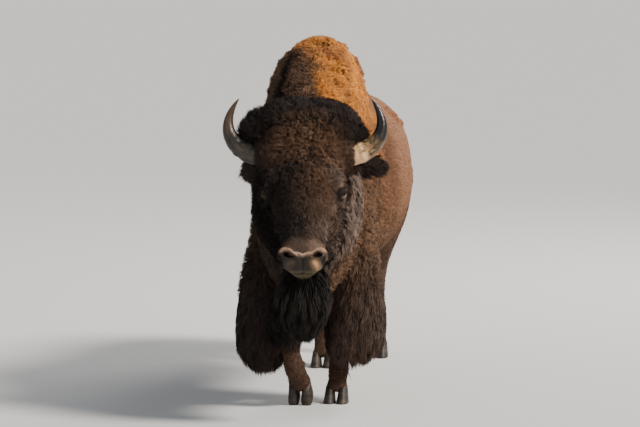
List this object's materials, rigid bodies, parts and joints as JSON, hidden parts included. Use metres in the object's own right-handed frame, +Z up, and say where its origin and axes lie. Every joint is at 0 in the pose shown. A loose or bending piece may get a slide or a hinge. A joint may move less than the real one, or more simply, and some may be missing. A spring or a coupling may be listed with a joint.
{
  "type": "bison",
  "caption": "Life-size still model of a walking bison bull: high shoulder hump, lowered horned head with topknot and beard, shaggy forelegs and a short-haired rear.",
  "frame": {"origin": "on the floor, under the middle of the whole model's bounding box", "axes": "+Z up; the animal faces -Y with its tail towards +Y, so its left side is +X"},
  "size_m": [0.7684, 2.8398, 1.693],
  "materials": {
    "dark_wool": "long, shaggy, near-black wool",
    "forehead_wool": "curly, dark reddish-brown wool",
    "cape_wool": "matted, golden-orange wool",
    "short_coat": "short, smooth, tan-brown hair",
    "leg_coat": "short, dark reddish-brown hair",
    "horn_sheath": "horn, rough and tan at the base, polished black at the tip",
    "hoof_horn": "dull black hoof",
    "eye_gloss": "wet dark brown"
  },
  "bodies": {
    "root": {"barrel": "short_coat", "beard": "dark_wool", "front_left_claw_left": "hoof_horn", "front_left_claw_right": "hoof_horn", "front_left_lower_leg": "leg_coat", "front_left_upper_leg": "dark_wool", "front_right_claw_left": "hoof_horn", "front_right_claw_right": "hoof_horn", "front_right_lower_leg": "leg_coat", "front_right_upper_leg": "dark_wool", "head": "forehead_wool", "hind_left_claw_left": "hoof_horn", "hind_left_claw_right": "hoof_horn", "hind_left_lower_leg": "leg_coat", "hind_left_upper_leg": "short_coat", "hind_right_claw_left": "hoof_horn", "hind_right_claw_right": "hoof_horn", "hind_right_lower_leg": "leg_coat", "hind_right_upper_leg": "short_coat", "hindquarters": "short_coat", "left_ear": "dark_wool", "left_eye": "eye_gloss", "left_horn": "horn_sheath", "lower_jaw": "dark_wool", "neck": "dark_wool", "right_ear": "dark_wool", "right_eye": "eye_gloss", "right_horn": "horn_sheath", "shoulders": "cape_wool", "tail": "short_coat"}
  },
  "joints": []
}
